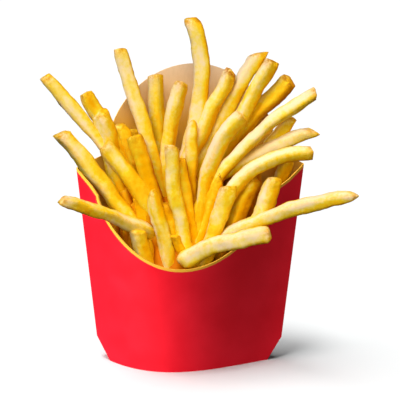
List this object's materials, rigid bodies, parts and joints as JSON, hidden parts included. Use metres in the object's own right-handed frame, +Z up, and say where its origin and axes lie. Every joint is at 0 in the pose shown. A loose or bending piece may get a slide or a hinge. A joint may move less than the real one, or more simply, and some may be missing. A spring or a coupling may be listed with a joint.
{
  "type": "french fries in a carton",
  "caption": "Scoop-shaped folded paperboard carton packed with loose, upright french fries that fan out above its rim.",
  "frame": {"origin": "middle of the carton's flat base, at table level", "axes": "+Z up out of the carton's mouth, -Y out of the low scooped front panel, +X across its width"},
  "size_m": [0.1495, 0.0721, 0.1675],
  "materials": {
    "red_board": "smooth satin-coated red paperboard outside, plain kraft board inside and along the cut edges",
    "fried_potato": "golden deep-fried potato, slightly oily, with paler and browner patches"
  },
  "bodies": {
    "root": {"carton": "red_board", "fries": "fried_potato"}
  },
  "joints": []
}
